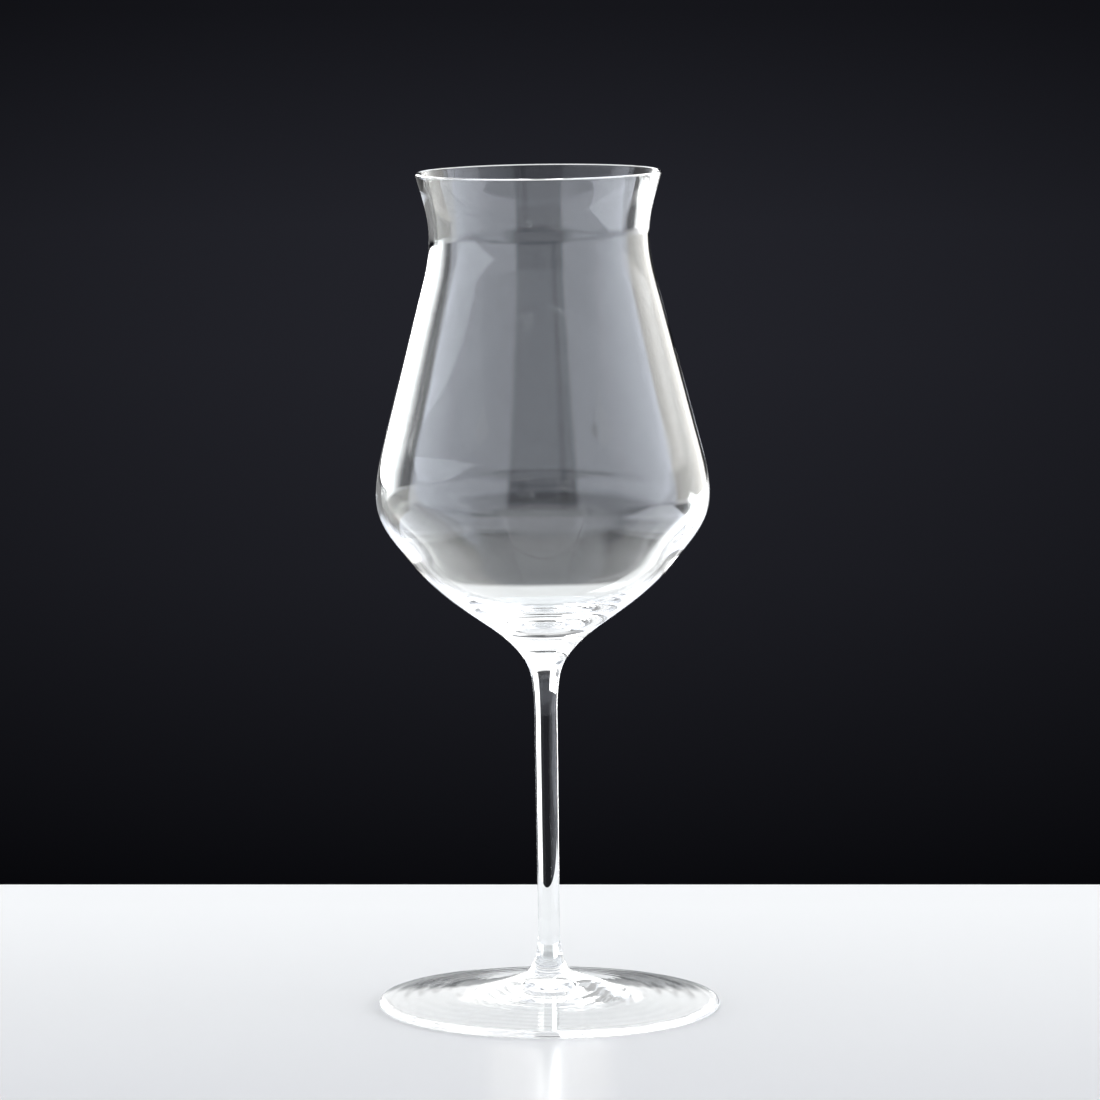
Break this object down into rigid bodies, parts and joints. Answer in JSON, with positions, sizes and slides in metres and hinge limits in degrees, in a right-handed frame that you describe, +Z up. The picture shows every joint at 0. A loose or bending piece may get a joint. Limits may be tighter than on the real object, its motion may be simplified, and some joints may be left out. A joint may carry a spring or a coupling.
{
  "type": "stemmed whisky glass",
  "caption": "Clear stemmed whisky glass: thin tulip bowl with a flared lip and narrow waist, on a slim stem and a wide shallow domed foot.",
  "frame": {"origin": "middle of the plane that the foot rests on", "axes": "+Z up, out of the mouth of the bowl; +X to the right as the picture shows it; the stem and bowl lean slightly towards -X"},
  "size_m": [0.0738, 0.0734, 0.1803],
  "materials": {
    "clear_glass": "fire-polished, clear, colourless"
  },
  "bodies": {
    "root": {"bowl": "clear_glass", "stem": "clear_glass", "foot": "clear_glass"}
  },
  "joints": []
}
